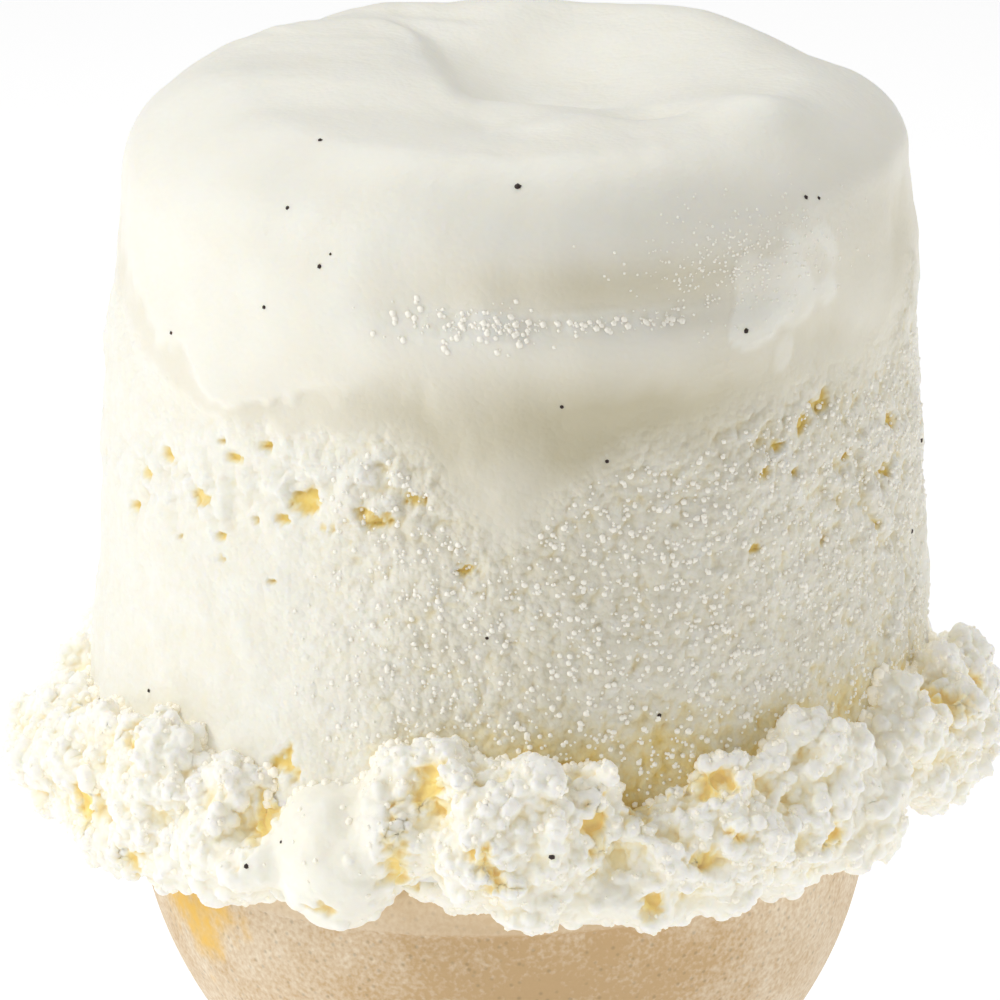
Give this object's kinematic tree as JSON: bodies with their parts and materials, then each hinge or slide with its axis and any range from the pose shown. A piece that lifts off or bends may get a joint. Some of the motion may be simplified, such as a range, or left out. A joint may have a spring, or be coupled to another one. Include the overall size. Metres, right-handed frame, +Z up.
{
  "type": "vanilla ice cream in a wafer cup",
  "caption": "Drum-shaped scoop of vanilla ice cream with a melted cap and a crumbly skirt, in a flat-bottomed wafer cup.",
  "frame": {"origin": "middle of the wafer cup's foot, on the surface that it stands on", "axes": "+Z up the wafer cup's axis, -Y the front that the picture shows, +X to the right seen from the front"},
  "size_m": [0.0733, 0.0717, 0.1274],
  "materials": {
    "vanilla_ice_cream": "frozen cream, granular at the side and smooth where it has melted",
    "wafer": "baked wafer, matte with a fine brown grain"
  },
  "bodies": {
    "root": {"ice_cream": "vanilla_ice_cream", "wafer_cone": "wafer"}
  },
  "joints": []
}
